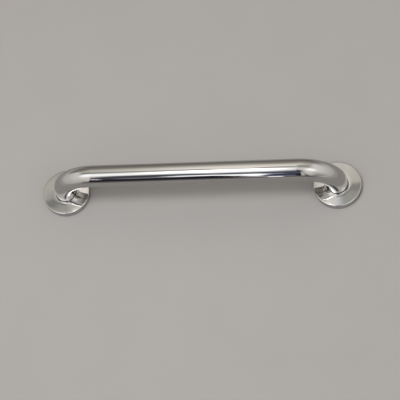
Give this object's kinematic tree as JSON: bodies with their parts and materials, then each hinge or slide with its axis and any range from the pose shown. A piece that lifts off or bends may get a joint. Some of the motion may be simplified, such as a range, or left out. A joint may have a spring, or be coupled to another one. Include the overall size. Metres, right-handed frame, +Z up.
{
  "type": "grab bar",
  "caption": "Straight wall grab bar: polished steel tube bent back at each end onto a concealed screw plate, each plate under a round pressed cover that slides on the tube.",
  "frame": {"origin": "on the wall plane (the backs of the screw plates), midway between the two legs", "axes": "+X along the bar to the right, +Z away from the wall; the bar lies on its plates with +Z up, as in the picture"},
  "size_m": [0.528, 0.078, 0.095],
  "materials": {
    "polished_steel": "mirror-polished stainless tube",
    "polished_cover": "mirror-polished stainless sheet",
    "mill_steel": "plain stainless plate, as rolled"
  },
  "bodies": {
    "bar": {"bar_tube": "polished_steel", "left_mounting_plate": "mill_steel", "right_mounting_plate": "mill_steel"},
    "left_cover": {"left_cover": "polished_cover"},
    "right_cover": {"right_cover": "polished_cover"}
  },
  "joints": [
    {"name": "left_cover_slide", "type": "hinge", "parent": "bar", "child": "left_cover", "pos_m": [-0.165, 0, 0.0175], "axis": [0, 1, 0], "range_deg": [0, 90]},
    {"name": "right_cover_slide", "type": "hinge", "parent": "bar", "child": "right_cover", "pos_m": [0.165, 0, 0.0175], "axis": [0, -1, 0], "range_deg": [0, 90]}
  ]
}
